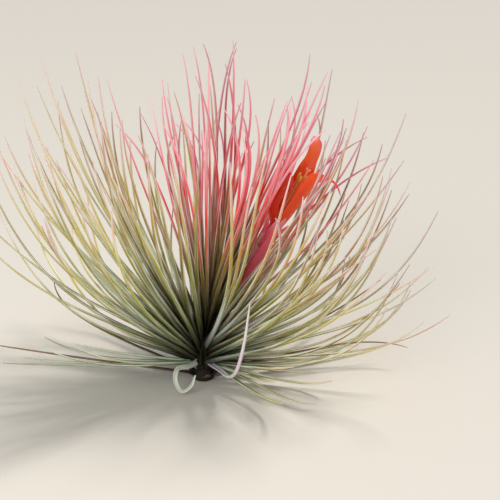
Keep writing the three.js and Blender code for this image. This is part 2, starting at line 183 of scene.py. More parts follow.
STEM_AXIS = growth_axis(0, 0)
ROSETTE_AXIS = growth_axis(7, 12)
HEART_AXIS = growth_axis(13, 8)
FLOWER_AXIS = growth_axis(30, 5)
leans = [math.degrees(math.acos(axis[2][2])) for axis in (ROSETTE_AXIS, HEART_AXIS, FLOWER_AXIS)]
print("rosette, heart and flower lean by", [round(lean) for lean in leans], "degrees")

# %% One leaf
def axis_point(axis, height, radius=0.0, azimuth=0.0):
    """A point at a height along an axis, and out from it to the side that the azimuth gives."""
    side, rear, along = axis
    sideways = side * radius * math.cos(azimuth)
    return crown + along * height + sideways + rear * radius * math.sin(azimuth)


def leaf_width(breadth, share):
    """How wide a leaf of this breadth still is at a share of its way to the tip."""
    return breadth * lerp(TIP_SHARE, 1, (1 - share) ** TAPER)


def grown_leaf(axis, growth):
    """A leaf's middle line, its direction across and its breadth."""
    side, rear, along = axis
    outward = side * math.cos(growth["azimuth"]) + rear * math.sin(growth["azimuth"])
    across = np.cross(along, outward)
    aim = outward * math.cos(growth["rise"]) + along * math.sin(growth["rise"])
    points = [axis_point(axis, growth["height"], growth["radius"], growth["azimuth"])]
    for i in range(PATH_STEPS):
        share = (i + 0.5) / PATH_STEPS
        aside = growth["sway"] * share + growth["hook"] * share**HOOK_POWER
        upwards = growth["lift"] * share**LIFT_POWER - SAG * share
        heading = unit(aim + UP * upwards + across * aside)
        point = points[-1] + heading * growth["length"] / PATH_STEPS
        # A low leaf comes to lie on the surface under the plant
        width = leaf_width(growth["breadth"], (i + 1) / PATH_STEPS)
        point[2] = max(point[2], width * LEAF_DEPTH_SHARE)
        points.append(point)
    path = np.array(points)
    line = path[:: PATH_STEPS // SEGMENTS]
    lines = {"path": path, "line": line, "across": across}
    return {**lines, "breadth": growth["breadth"], "growth": growth}


tip_width = leaf_width(LEAF_WIDTH, 1)
print("a plain leaf is", LEAF_WIDTH, "mm wide at its root and", round(tip_width, 2), "mm at its tip")

# %% [markdown]
# On a living plant the leaves slip past the flower and each other. A solver for soft bodies could do
# that, slowly. Here a leaf that would cross the flower, or a leaf of another colour, is turned aside
# in small steps until it is clear, and left out where no turn is. For this a leaf counts as a few
# straight lengths with a little more than half its width kept free round them.

# %% Keeping leaves clear of each other
GAP = 0.3
ROOM_SHARE = 0.58
TURN_STEP = math.radians(2.5)
TURN_TRIES = 90


def length_distances(p, q, r, s):
    """Least distances between the straight lengths p to q and r to s, row by row."""
    u, v, w = q - p, s - r, p - r
    a, b, c = (u * u).sum(-1), (u * v).sum(-1), (u * w).sum(-1)
    e, f = (v * v).sum(-1), (v * w).sum(-1)
    spread = a * e - b * b
    wide = spread > 1e-9
    m = np.where(wide, np.clip((b * f - c * e) / np.where(wide, spread, 1), 0, 1), 0)
    n = (b * m + f) / e
    m = np.where(n < 0, np.clip(-c / a, 0, 1), np.where(n > 1, np.clip((b - c) / a, 0, 1), m))
    n = np.clip(n, 0, 1)
    return np.linalg.norm(w + u * m[..., None] - v * n[..., None], axis=-1)


def leaf_rooms(leaf):
    """How far from its line each straight length of a leaf keeps others."""
    return ROOM_SHARE * leaf_width(leaf["breadth"], np.arange(SEGMENTS) / SEGMENTS)


def touches(leaf, others):
    """Whether a leaf comes within the gap of any of the others."""
    if not others:
        return False
    starts = np.concatenate([other["line"][:-1] for other in others])
    ends = np.concatenate([other["line"][1:] for other in others])
    rooms = np.concatenate([leaf_rooms(other) for other in others])
    own = leaf_rooms(leaf)
    for i in range(SEGMENTS):
        apart = length_distances(leaf["line"][i][None], leaf["line"][i + 1][None], starts, ends)
        if (apart < own[i] + rooms + GAP).any():
            return True
    return False


def enters(leaf, room):
    """Whether a leaf comes into a room: a straight length with a radius round it."""
    start, end, radius = room
    apart = length_distances(leaf["line"][:-1], leaf["line"][1:], start[None], end[None])
    return bool((apart < radius + leaf_rooms(leaf) + GAP).any())


def clear_leaf(axis, growth, others, rooms):
    """The leaf at the first turn to either side where it is clear, or none."""
    for attempt in range(TURN_TRIES):
        turn = math.ceil(attempt / 2) * (1 if attempt % 2 else -1) * TURN_STEP
        leaf = grown_leaf(axis, {**growth, "azimuth": growth["azimuth"] + turn})
        if not any(enters(leaf, room) for room in rooms) and not touches(leaf, others):
            return leaf
    return None


least = 2 * leaf_rooms({"breadth": LEAF_WIDTH})[0] + GAP
print("green and pink roots stay", round(least, 2), "mm apart, from middle to middle")

# %% [markdown]
# The flower comes before the leaves, because they keep out of its room. Its petals form a tube and
# part above it, and each has a line of its own: the distance from the flower's axis and the height
# at each corner. Rods of room stand round the stalk, the tube and each petal's line, and three more
# run to the front, so that the leaves part there and the flower shows.

# %% The petals' lines
# Each petal stands towards an azimuth in degrees and ends drawn aside by some millimetres. Its shade
# is the share of painted shade on its colour. It wraps the tube by a share of the radius that it
# curls to, and narrows to its lobe between two shares of its length. A corner of its line is a
# distance from the flower's axis and a height.
CLAW = [(1.1, 50.3), (1.6, 54), (2.6, 60)]
PETALS = [
    {
        "towards": -30,
        "aside": 0,
        "shade": 0.0,
        "wrap": 1.35,
        "lobe_half": 2.7,
        "narrows": (0.55, 0.8),
        "line": [(3.6, 66), (4.9, 76), (5.7, 82), (7.6, 85.6), (10.6, 87), (14, 86.8), (17.6, 84.4)],
    },
    {
        "towards": 88,
        "aside": 3.4,
        "shade": 0.0,
        "wrap": 1.35,
        "lobe_half": 2.7,
        "narrows": (0.44, 0.66),
        "line": [(3.6, 66), (4.8, 76), (5.6, 85.5), (6.9, 90.5), (8.3, 94), (9.9, 96.5), (11.9, 97.9)],
    },
    {
        "towards": 200,
        "aside": 0,
        # Painted shade darkens this left petal to deep red
        "shade": 0.7,
        "wrap": 1.7,
        "lobe_half": 3.4,
        "narrows": (0.7, 0.95),
        "line": [(6, 64), (8.8, 68.5), (9.9, 74), (10, 79), (10.4, 83), (11.8, 85.4)],
    },
]
heights = [petal["line"][-1][1] for petal in PETALS]
print("the petals end", heights, "mm along the flower's axis")

# %% The room of the heart and of the flower
LOBE_ROOM = 3.6
FRONT = np.array([0.0, -0.95, 0.31])
LANE_HEIGHTS = (62, 71, 80)
LANE_LENGTH = 42
LANE_RADIUS = 4


def room_on(axis, low, high, radius):
    """Room round a part of an axis, from a low height to a high one."""
    return axis_point(axis, low), axis_point(axis, high), radius


def lane(height):
    """Room towards the front from a height on the flower, where the leaves part."""
    start = axis_point(FLOWER_AXIS, height)
    return start, start + FRONT * LANE_LENGTH, LANE_RADIUS


heart_room = room_on(HEART_AXIS, 9, 23, 3.9)
flower_rooms = [
    room_on(FLOWER_AXIS, 20, 37, 1.6),
    room_on(FLOWER_AXIS, 37, 46, 3.2),
    room_on(FLOWER_AXIS, 46, 64, 5),
    room_on(FLOWER_AXIS, 64, 88, 6.8),
    *[lane(height) for height in LANE_HEIGHTS],
]
for petal in PETALS:
    turn = math.radians(petal["towards"])
    places = [axis_point(FLOWER_AXIS, height, reach, turn) for reach, height in petal["line"]]
    flower_rooms += [(start, end, LOBE_ROOM) for start, end in zip(places, places[1:])]
print(len(flower_rooms), "rods of room round the flower and in front of it")

# %% [markdown]
# Four kinds of leaf grow by the rule: the green ones of the rosette, a few low ones that lie out on
# the surface, the pink ones that stand steep round the flower, and dead ones that still hang on the
# stem. An age from 1 for the oldest to 0 for the youngest sets how high a leaf starts and how steep
# it stands. The rosette isn't even: in front its leaves part, stand steeper and stay shorter.

# %% How the green leaves grow
# From the young leaves to the old: height above the crown, and how far they part in front, in
# radians. Then the degrees that they stand steeper and the shares that they stay shorter.
GREEN_HEIGHTS = (5, -5.5)
PARTED = (0.08, 0.53)
STEEPER_FRONT = 24
STEEPER_LEFT = 8
SHORTER_RIGHT = 0.2
SHORTER_FRONT = 0.25


def green_growth(i):
    """A leaf of the rosette."""
    age = 1 - (i + 0.5) / GREEN_COUNT
    azimuth = math.radians(i * GOLDEN_ANGLE + draw(-9, 9))
    parted = lerp(*PARTED, age) * max(0, -math.sin(azimuth)) ** 3
    azimuth += math.copysign(parted, math.cos(azimuth))
    front = max(0, -math.sin(azimuth))
    right = max(0, math.cos(azimuth))
    left = max(0, -math.cos(azimuth))
    steeper = math.radians(draw(-6, 6) + (STEEPER_FRONT * front + STEEPER_LEFT * left) * age)
    return {
        "azimuth": azimuth,
        "breadth": LEAF_WIDTH,
        "height": lerp(*GREEN_HEIGHTS, age),
        "radius": lerp(5, 4, age),
        "rise": math.asin(lerp(0.8, -0.01, age**1.2)) + steeper,
        "length": LEAF_REACH
        * draw(0.84, 1.05)
        * (1 - SHORTER_RIGHT * right * age)
        * (1 - SHORTER_FRONT * front * (1 - age)),
        "lift": lerp(2.8, 2.2, age) * draw(0.4, 1.7) * (1 - 0.5 * front),
        "sway": draw(-0.5, 0.5),
        "hook": draw(-1.2, 1.2),
    }


def low_growth(i):
    """A short leaf that lies out on the surface, at the left and at the right in turn."""
    left = i % 2 == 1
    return {
        "azimuth": math.radians(draw(-178, -120) if left else draw(-44, 4)),
        "breadth": LEAF_WIDTH,
        "height": -6,
        "radius": 4.2,
        "rise": math.radians(draw(-10, 12)),
        "length": LEAF_REACH * (draw(0.34, 0.64) if left else draw(0.28, 0.48)),
        "lift": draw(0.2, 1.2),
        "sway": draw(-0.8, 0.8),
        "hook": draw(-1.5, 1.5),
    }


outer_growths = [*map(green_growth, range(GREEN_COUNT)), *map(low_growth, range(LOW_COUNT))]
print("the first green leaf is to be", round(outer_growths[0]["length"]), "mm long")

# %% How the pink and the dead leaves grow
HEART_SHORTER = 20


def heart_growth(i):
    """A steep leaf round the flower."""
    age = 1 - (i + 0.5) / HEART_COUNT
    return {
        "azimuth": math.radians(i * GOLDEN_ANGLE + draw(-12, 12)),
        "breadth": LEAF_WIDTH * 0.9,
        "height": lerp(20, 8, age),
        "radius": lerp(2.1, 2.6, age),
        "rise": math.radians(lerp(80, 56, age) + draw(-4, 4)),
        "length": (LEAF_REACH - HEART_SHORTER) * draw(0.8, 1.06),
        "lift": draw(0, 1.6),
        "sway": draw(-0.45, 0.45),
        "hook": draw(-1.5, 1.5),
    }


def dead_growth(i):
    """A thin dead leaf low on the stem, one after another from the left round the back."""
    return {
        "azimuth": math.radians(192 - 38 * i + draw(-10, 10)),
        "breadth": LEAF_WIDTH * 0.75,
        "height": 2.6 - CROWN_HEIGHT,
        "radius": 2.4,
        "rise": math.radians(draw(8, 20)),
        "length": LEAF_REACH * draw(0.5, 0.75),
        "lift": draw(-0.2, 0.6),
        "sway": draw(-0.5, 0.5),
        "hook": draw(-2, 2),
    }


print("a pink leaf is at most", round((LEAF_REACH - HEART_SHORTER) * 1.06), "mm long")

# %% [markdown]
# Two leaves in front of the foot are unlike the others. One is folded over and ends beside the
# stem, the other runs out and then bends up. No rule makes such leaves, so each follows a smooth
# line through a few corners, which is the simplest way to draw a single curve.

# %% Two leaves laid through listed corners
LAID_WIDTH = 2.6


def smooth_line(corners, count):
    """Points along a smooth curve through the corners, a count of steps from the first to the last."""
    corners = np.array(corners, float)
    padded = np.concatenate([[2 * corners[0] - corners[1]], corners, [2 * corners[-1] - corners[-2]]])
    gaps = np.linalg.norm(np.diff(padded, axis=0), axis=1) ** 0.5
    points = []
    for place in np.linspace(0, len(corners) - 1, count + 1):
        i = min(int(place), len(corners) - 2)
        t = place - i
        before, start, end, after = padded[i : i + 4]
        g0, g1, g2 = gaps[i : i + 3]
        leave = ((start - before) / g0 - (end - before) / (g0 + g1) + (end - start) / g1) * g1
        arrive = ((end - start) / g1 - (after - start) / (g1 + g2) + (after - end) / g2) * g1
        bend = 3 * (end - start) - 2 * leave - arrive
        twist = 2 * (start - end) + leave + arrive
        points.append(start + leave * t + bend * t**2 + twist * t**3)
    return np.array(points)


def laid_leaf(corners, across):
    """A leaf along a smooth line through given corners."""
    path = smooth_line(corners, PATH_STEPS)
    line = path[:: PATH_STEPS // SEGMENTS]
    return {"path": path, "line": line, "across": np.array(across, float), "breadth": LAID_WIDTH}


FOLD = [
    (-1, -3.5, 10),
    (-5.5, -9, 9.5),
    (-10, -13, 9.8),
    (-10.6, -16, 6),
    (-8, -17.5, 2),
    (-4.4, -17, 4),
    (-2.6, -15, 8),
]
BENT = [(2, -4, 9), (7, -12, 9), (11, -21, 10), (14, -28, 15), (17, -31, 27), (19.5, -32, 45)]

laid = [laid_leaf(FOLD, (0, 1, 0)), laid_leaf(BENT, (1, 0, 0))]
for leaf in laid:
    steps = np.linalg.norm(np.diff(leaf["path"], axis=0), axis=1)
    print("a laid leaf is", round(steps.sum()), "mm long")

# %% Grow the leaves
def grow(axis, growths, others, rooms):
    """The leaves that find a clear place between the others and outside the rooms."""
    leaves = [clear_leaf(axis, growth, others, rooms) for growth in growths]
    return [leaf for leaf in leaves if leaf]


green = grow(ROSETTE_AXIS, outer_growths, [], [heart_room, *flower_rooms])
heart = grow(HEART_AXIS, map(heart_growth, range(HEART_COUNT)), green + laid, flower_rooms)
dead = grow(STEM_AXIS, map(dead_growth, range(DEAD_COUNT)), green + laid, [])
print(len(green + laid), "green leaves,", len(heart), "pink ones,", len(dead), "dead ones")

# %% [markdown]
# A leaf of this plant is a thin gutter: hollowed along its upper side, keeled below, widest in the
# sheath that clasps the stem, and drawn out to a fine tip. Two hundred of them repeat one form along
# different lines, which is what Geometry Nodes do well. The script lays down only the middle lines,
# with the width and the sideways direction at each point, and one tree sweeps the same section
# along all of them. The tree also notes on each point where it lies on the leaf, for the colours.

# %% The middle lines of the leaves
SHEATH_DROP = 5
SHEATH_FLARE = 1.0
FLARE_REACH = 7
CORE_LOW = -8
FOOT_INWARDS = 0.5
MIDDLE_INWARDS = 0.85
# A real tip is finer than the frame can hold, so the last fifth of each leaf is drawn out here
FINE_TIP_FROM = 0.8
FINE_TIP = 0.42
NOTES = ("width", "share", "along", "tone", "blush", "silver")

tones = Draws(11)


def sheath_foot(axis, growth):
    """Two points behind a leaf's root, where its sheath clasps the stem."""
    low = max(growth["height"] - SHEATH_DROP, CORE_LOW)
    middle = (low + growth["height"]) / 2
    return [
        axis_point(axis, low, FOOT_INWARDS * growth["radius"], growth["azimuth"]),
        axis_point(axis, middle, MIDDLE_INWARDS * growth["radius"], growth["azimuth"]),
    ]


def strand(leaf, foot=(), flare=0.0, blush=0.0, silver=None, tone=None, widths=None):
    """What the tree needs of one leaf: its line, its width and its notes at each point."""
    line = np.array([*foot, *leaf["path"]])
    count, clasped = len(line), len(foot)
    places = np.arange(count)
    ahead = unit(line[np.minimum(places + 1, count - 1)] - line[np.maximum(places - 1, 0)])
    under = unit(np.cross(leaf["across"], ahead))
    share = np.clip((places - clasped) / (count - 1 - clasped), 0, 1)
    along = np.concatenate([[0], np.cumsum(np.linalg.norm(np.diff(line, axis=0), axis=1))])
    beyond = np.maximum(along - along[clasped], 0)
    fine = lerp(1, FINE_TIP, np.clip((share - FINE_TIP_FROM) / (1 - FINE_TIP_FROM), 0, 1) ** 2)
    width = fine * leaf_width(leaf["breadth"], share)
    width = width + flare * np.exp(-((beyond / FLARE_REACH) ** 2))
    return {
        "line": line,
        "across": np.cross(ahead, under),
        "width": (width if widths is None else np.array(widths)) * MM,
        "share": share,
        "along": along,
        "tone": np.full(count, tones(0, 1) if tone is None else tone),
        "blush": np.full(count, blush),
        "silver": np.zeros(count) if silver is None else silver(share),
    }


def lay_lines(name, strands):
    """One mesh of all the middle lines, in metres, with the notes on its points."""
    firsts = np.cumsum([0] + [len(one["line"]) for one in strands])
    edges = []
    for first, one in zip(firsts, strands):
        edges += [(first + i, first + i + 1) for i in range(len(one["line"]) - 1)]
    points = np.concatenate([one["line"] for one in strands]) * MM
    mesh = bpy.data.meshes.new(name)
    mesh.from_pydata(points.tolist(), edges, [])
    for note in NOTES:
        values = np.concatenate([one[note] for one in strands])
        mesh.attributes.new(note, "FLOAT", "POINT").data.foreach_set("value", values)
    across = np.concatenate([one["across"] for one in strands])
    mesh.attributes.new("across", "FLOAT_VECTOR", "POINT").data.foreach_set("vector", across.ravel())
    lines = bpy.data.objects.new(name, mesh)
    bpy.context.scene.collection.objects.link(lines)
    return lines


print("each point of a line carries", ", ".join(NOTES), "and the direction across")

# %% The tree that sweeps the leaves
def blades_tree():
    """A tree that sweeps one gutter section along all the middle lines of a mesh."""
    tree = bpy.data.node_groups.new("leaf blades", "GeometryNodeTree")
    sockets = (
        ("Lines", "Geometry", None),
        ("Rings", "Int", 40),
        ("Sides", "Int", 10),
        ("Upper side", "Float", 0.02),
        ("Keel", "Float", 0.41),
        ("Edge rise", "Float", 0.21),
        ("Finish", "Material", None),
    )
    for name, kind, value in sockets:
        socket = tree.interface.new_socket(name, in_out="INPUT", socket_type="NodeSocket" + kind)
        if value is not None:
            socket.default_value = value
    tree.interface.new_socket("Blades", in_out="OUTPUT", socket_type="NodeSocketGeometry")
    given = add(tree, "NodeGroupInput")

    # The middle lines, smooth and evenly stepped, each turned to face the way that its leaf does
    curves = add(tree, "GeometryNodeMeshToCurve", {"Mesh": given["Lines"]})[0]
    smooth = add(tree, "GeometryNodeCurveSplineType", {"Curve": curves}, spline_type="CATMULL_ROM")[0]
    even = add(tree, "GeometryNodeResampleCurve", {"Curve": smooth, "Count": given["Rings"]})[0]
    vector = {"data_type": "FLOAT_VECTOR"}
    across = add(tree, "GeometryNodeInputNamedAttribute", {"Name": "across"}, **vector)[0]
    facing = add(tree, "GeometryNodeSetCurveNormal", {"Curve": even, "Normal": across}, mode="FREE")[0]

    # The section: a circle pressed into a gutter with a keel
    rounded = {"Resolution": given["Sides"], "Radius": 0.5}
    circle = add(tree, "GeometryNodeCurvePrimitiveCircle", rounded)[0]
    place = add(tree, "GeometryNodeInputPosition")[0]
    split = add(tree, "ShaderNodeSeparateXYZ", {"Vector": place})
    doubled = add(tree, "ShaderNodeVectorMath", {0: place, "Scale": 2.0}, operation="SCALE")[0]
    two = add(tree, "ShaderNodeSeparateXYZ", {"Vector": doubled})
    squared = add(tree, "ShaderNodeMath", {0: two["X"], 1: two["X"]}, operation="MULTIPLY")[0]
    rise = add(tree, "ShaderNodeMath", {0: squared, 1: given["Edge rise"]}, operation="MULTIPLY")[0]
    upper = add(tree, "ShaderNodeMath", {0: two["Y"], 1: 0.0}, operation="MAXIMUM")[0]
    lower = add(tree, "ShaderNodeMath", {0: two["Y"], 1: 0.0}, operation="MINIMUM")[0]
    hollowed = {0: upper, 1: given["Upper side"], 2: rise}
    top = add(tree, "ShaderNodeMath", hollowed, operation="MULTIPLY_ADD")[0]
    keeled = {0: lower, 1: given["Keel"], 2: top}
    height = add(tree, "ShaderNodeMath", keeled, operation="MULTIPLY_ADD")[0]
    pressed = add(tree, "ShaderNodeCombineXYZ", {"X": split["X"], "Y": height})[0]
    noted = {"Geometry": circle, "Name": "section", "Value": place}
    marked = add(tree, "GeometryNodeStoreNamedAttribute", noted, **vector)[0]
    gutter = add(tree, "GeometryNodeSetPosition", {"Geometry": marked, "Position": pressed})[0]

    # The section swept along the lines, as wide at each point as its note says
    width = add(tree, "GeometryNodeInputNamedAttribute", {"Name": "width"}, data_type="FLOAT")[0]
    swept = {"Curve": facing, "Profile Curve": gutter, "Scale": width, "Fill Caps": True}
    blades = add(tree, "GeometryNodeCurveToMesh", swept)[0]
    soft = add(tree, "GeometryNodeSetShadeSmooth", {"Geometry": blades})[0]
    real = add(tree, "GeometryNodeRealizeInstances", {"Geometry": soft})[0]
    done = add(tree, "GeometryNodeSetMaterial", {"Geometry": real, "Material": given["Finish"]})[0]
    add(tree, "NodeGroupOutput", {"Blades": done})
    return tree


blades = blades_tree()
print("the leaf tree has", len(blades.nodes), "nodes")

# %% Plain meshes and finished pieces
def grow_mesh(source, tree, **given):
    """The plain mesh that a tree makes of an object, with its inputs set by their identifiers."""
    modifier = source.modifiers.new(tree.name, "NODES")
    modifier.node_group = tree
    for socket in tree.interface.items_tree:
        if socket.name.replace(" ", "_") in given:
            modifier[socket.identifier] = given[socket.name.replace(" ", "_")]
    evaluated = source.evaluated_get(bpy.context.evaluated_depsgraph_get())
    mesh = bpy.data.meshes.new_from_object(evaluated)
    bpy.data.objects.remove(source)
    return mesh


def show(name, mesh, node):
    """A finished piece: it stands for its node of the frame, which it hides."""
    mesh.name = name
    piece = bpy.data.objects.new(name, mesh)
    bpy.context.scene.collection.objects.link(piece)
    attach(piece, "root")
    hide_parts(node)
    triangles = sum(len(face.vertices) - 2 for face in mesh.polygons)
    corners = np.array([vertex.co for vertex in mesh.vertices]) / MM
    low, high = corners.min(0).round(1), corners.max(0).round(1)
    print(name, triangles, "triangles, from", low, "to", high, "mm")


print("finished pieces are to stand for", len(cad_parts), "nodes of the frame")

# %% [markdown]
# The leaves are covered with minute silvery scales that take up water. From a step away they show
# as a dull, frosted skin with pale streaks along the leaf and pale edges, which are partly the
# scales' own colour and partly painted highlight. The colour goes from near black, painted shade in
# the crown, through olive, to a dry lavender grey at the tip, and the leaves nearest the flower
# blush pink. Each leaf is a little different in tone. The colours follow the notes that the tree
# left on the points, so a ramp runs along every leaf, however it bends. The real scales are a tenth
# of a millimetre, too fine to show, so the streaks stand for rows of them.

# %% Leaf finish
STREAK_LENGTH = 14.0
STREAKS_ACROSS = 5.0
STREAK_RELIEF = 0.06
# A leaf's tone, from 0 to 1, starts its streaks elsewhere in the noise and sets how light it is
STREAKS_APART = 90.0
DARKEST = 0.55
PALEST = 1.42
RICHER = 1.2
# How pale the edges are painted, partly the scales' colour and partly painted highlight
EDGE_FROST_AND_HIGHLIGHT = 0.62


def leaf_finish(name, plain_stops, blushed_stops, frost_and_highlight, frosted_and_highlit):
    """Living leaf skin under silvery scales: dull; pale streaks and edges of scale colour and painted
    highlight.
    """
    glow = {"Subsurface_Weight": 0.25, "Subsurface_Scale": 1.2 * MM}
    material, tree, shader = new_finish(name, roughness=0.38, **glow)
    share, along, tone, blush, silver = (
        add(tree, "ShaderNodeAttribute", attribute_name=note)["Fac"] for note in NOTES[1:]
    )
    section = add(tree, "ShaderNodeAttribute", attribute_name="section")["Vector"]

    # The skin: olive or blushed along the leaf, silvery where its scales lie thick
    plain = add(tree, "ShaderNodeValToRGB", {"Fac": share}, stops=plain_stops)[0]
    blushed = add(tree, "ShaderNodeValToRGB", {"Fac": share}, stops=blushed_stops)[0]
    skin = add(tree, "ShaderNodeMix", {0: blush, 6: plain, 7: blushed}, data_type="RGBA")[2]
    felting = {0: blush, 6: linear("#b2c6b0"), 7: linear("#e2d8e8")}
    felt = add(tree, "ShaderNodeMix", felting, data_type="RGBA")[2]
    skin = add(tree, "ShaderNodeMix", {0: silver, 6: skin, 7: felt}, data_type="RGBA")[2]
    toning = {"Value": tone, "To Min": DARKEST, "To Max": PALEST}
    light = add(tree, "ShaderNodeMapRange", toning)[0]
    richer = {"Saturation": RICHER, "Value": light, "Color": skin}
    toned = add(tree, "ShaderNodeHueSaturation", richer)[0]

    # Streaks: noise drawn out along the leaf, started elsewhere on each leaf by its tone
    split = add(tree, "ShaderNodeSeparateXYZ", {"Vector": section})
    onward = add(tree, "ShaderNodeMath", {0: along, 1: STREAK_LENGTH}, operation="DIVIDE")[0]
    spread = {0: split["X"], 1: STREAKS_ACROSS}
    sideways = add(tree, "ShaderNodeMath", spread, operation="MULTIPLY")[0]
    begun = {0: tone, 1: STREAKS_APART, 2: split["Y"]}
    started = add(tree, "ShaderNodeMath", begun, operation="MULTIPLY_ADD")[0]
    drawn = add(tree, "ShaderNodeCombineXYZ", {"X": onward, "Y": sideways, "Z": started})[0]
    streaks = add(tree, "ShaderNodeTexNoise", {"Vector": drawn, "Scale": 1.0, "Detail": 3.0})["Fac"]

    # Frost and painted highlight: the streaks and the pale outer third of each side,
    # from above the sheath onwards
    out = add(tree, "ShaderNodeMath", {0: split["X"]}, operation="ABSOLUTE")[0]
    edged = {"Value": out, "From Min": 0.34, "From Max": 0.46, "To Max": EDGE_FROST_AND_HIGHLIGHT}
    edge = add(tree, "ShaderNodeMapRange", edged)[0]
    scaled = {"Value": streaks, "From Min": 0.47, "From Max": 0.68, "To Max": frosted_and_highlit}
    streak_paleness = add(tree, "ShaderNodeMapRange", scaled)[0]
    pale = add(tree, "ShaderNodeMath", {0: streak_paleness, 1: edge}, operation="ADD")[0]
    risen = {"Value": share, "From Min": 0.04, "From Max": 0.4}
    grown = add(tree, "ShaderNodeMapRange", risen)[0]
    risen_pale = {0: pale, 1: grown}
    frost_and_highlight_share = add(tree, "ShaderNodeMath", risen_pale, operation="MULTIPLY", use_clamp=True)[0]
    frosted_and_highlit_skin = {0: frost_and_highlight_share, 6: toned, 7: linear(frost_and_highlight)}
    surface = add(tree, "ShaderNodeMix", frosted_and_highlit_skin, data_type="RGBA")[2]
    tree.links.new(surface, shader.inputs["Base Color"])
    relief = {"Height": streaks, "Strength": 0.5, "Distance": STREAK_RELIEF * MM}
    tree.links.new(add(tree, "ShaderNodeBump", relief)[0], shader.inputs["Normal"])
    return material


def ramp(places, colours):
    """The stops of a colour ramp, from its places and its colours."""
    return tuple(zip(places, colours.split()))


print("streaks", STREAK_LENGTH, "mm long and", round(LEAF_WIDTH / STREAKS_ACROSS, 2), "mm apart")

# %% Olive, pink and dead leaves
# An outer leaf: near black where it clasps the stem, which is painted shade, olive above, dry and
# lavender at its tip
OLIVE_PLACES = (0, 0.06, 0.2, 0.45, 0.75, 1)
BLUSHED_PLACES = (0, 0.06, 0.2, 0.45, 0.72, 1)
olive_skin = leaf_finish(
    "olive leaf skin, silver scaled",
    ramp(OLIVE_PLACES, "#0a0903 #181a06 #48500f #84882a #b4ab5e #d8b8c0"),
    ramp(BLUSHED_PLACES, "#0c0803 #201a07 #584e18 #92743c #c07a66 #e0aabc"),
    frost_and_highlight="#f0f4e4",
    frosted_and_highlit=0.62,
)
# A heart leaf: near black at its root, which is painted shade, olive at its foot, then flushed to a
# clear pink, with fewer scales over it
PINK_PLACES = (0, 0.08, 0.3, 0.42, 0.58, 1)
FLUSHED_PLACES = (0, 0.08, 0.3, 0.4, 0.56, 1)
pink_skin = leaf_finish(
    "pink heart leaf skin, silver scaled",
    ramp(PINK_PLACES, "#0c0903 #26280a #747424 #a07440 #d06a62 #f0b8c6"),
    ramp(FLUSHED_PLACES, "#0c0903 #28240a #806c28 #b4563a #e44a58 #f8b8c8"),
    frost_and_highlight="#fde0e8",
    frosted_and_highlit=0.45,
)
# A dead leaf: dried to a brown burgundy, its scales mostly worn off
DEAD_PLACES = (0, 0.2, 0.6, 1)
dead_skin = leaf_finish(
    "dead leaf, dry burgundy",
    ramp(DEAD_PLACES, "#120a06 #301c12 #2e1210 #6c584c"),
    ramp(DEAD_PLACES, "#120a06 #4a3424 #50342a #8c7a64"),
    frost_and_highlight="#b8a48c",
    frosted_and_highlit=0.3,
)
print("leaf finishes:", [skin.name for skin in (olive_skin, pink_skin, dead_skin)])

# %% [markdown]
# No two green leaves wear the same colour. The young ones near the heart and those that lean to the
# right are blushed, low ones at the left are silvery all along, and some others only above the
# sheath. A material for each leaf would show that too, two hundred times over. Here its share of
# blush and silver is a note on its points, so that one material serves them all.

# %% Green leaves
# A leaf is low when its tip ends below this height, and in front when it ends before this depth
LOW_TIP = 32
REAR = 20
# Blush begins at the first height and is full after the second length; then each cause's weight
BLUSH_FROM = 60
BLUSH_OVER = 80
FOR_HEIGHT = 0.55
FOR_RIGHT = 0.65
FOR_AGE = -0.4
SILVER_REACH = 0.14


def evenly(value):
    """The same value all along."""
    return lambda share: value + 0 * share


def blush_of(leaf, age):
    """How pink a green leaf is: the young ones near the heart, and those that lean to the right."""
    tip = leaf["path"][-1]
    right = np.clip(tip[0] / LEAF_REACH, -0.6, 1)
    high = np.clip((tip[2] - BLUSH_FROM) / BLUSH_OVER, 0, 1)
    blush = FOR_HEIGHT * high + FOR_RIGHT * right + FOR_AGE * age + tones(-0.3, 0.35)
    return float(np.clip(blush, 0, 1))


def silver_of(leaf):
    """Where a green leaf is silvery: all along a low old one, above the sheath of some others."""
    tip = leaf["path"][-1]
    low = tip[2] < LOW_TIP and tip[1] < REAR
    right = tip[0] > 0 and tip[1] < REAR
    if low and not right:
        return evenly(tones(0.35, 0.9))
    middle, most = (0.2, tones(-0.8, 1.0)) if right else (0.36, tones(-0.9, 0.75))
    return lambda share: max(most, 0) * np.exp(-(((share - middle) / SILVER_REACH) ** 2))


green_strands = []
young_height, old_height = GREEN_HEIGHTS
for leaf in green:
    risen = leaf["growth"]["height"]
    age = np.clip((young_height - risen) / (young_height - old_height), 0, 1)
    foot = sheath_foot(ROSETTE_AXIS, leaf["growth"])
    green_strands.append(strand(leaf, foot, SHEATH_FLARE, blush_of(leaf, age), silver_of(leaf)))
folded, bent = laid
# The fold lies open to the front, so its broad side turns with it
folded["across"] = np.cross(unit(np.gradient(folded["path"], axis=0)), (0, 1, 0))
green_strands.append(strand(folded, blush=0.3, silver=evenly(0.8), tone=0.6))
green_strands.append(strand(bent, blush=0.9, silver=lambda share: 0.5 + 0.45 * share, tone=0.7))
green_mesh = grow_mesh(lay_lines("green lines", green_strands), blades, Finish=olive_skin)
show("green_leaf_blades", green_mesh, "green_leaves")

# %% Heart leaves
HEART_FLARE = 0.7
heart_strands = [
    strand(leaf, sheath_foot(HEART_AXIS, leaf["growth"]), HEART_FLARE, tones(0, 1)) for leaf in heart
]
heart_mesh = grow_mesh(lay_lines("heart lines", heart_strands), blades, Finish=pink_skin)
show("heart_leaf_blades", heart_mesh, "heart_leaves")

# %% Dead leaves
dead_strands = [strand(leaf, blush=tones(0, 0.6), tone=tones(0.2, 0.7)) for leaf in dead]
dead_mesh = grow_mesh(lay_lines("dead lines", dead_strands), blades, Finish=dead_skin)
show("dead_leaves", dead_mesh, "stem")

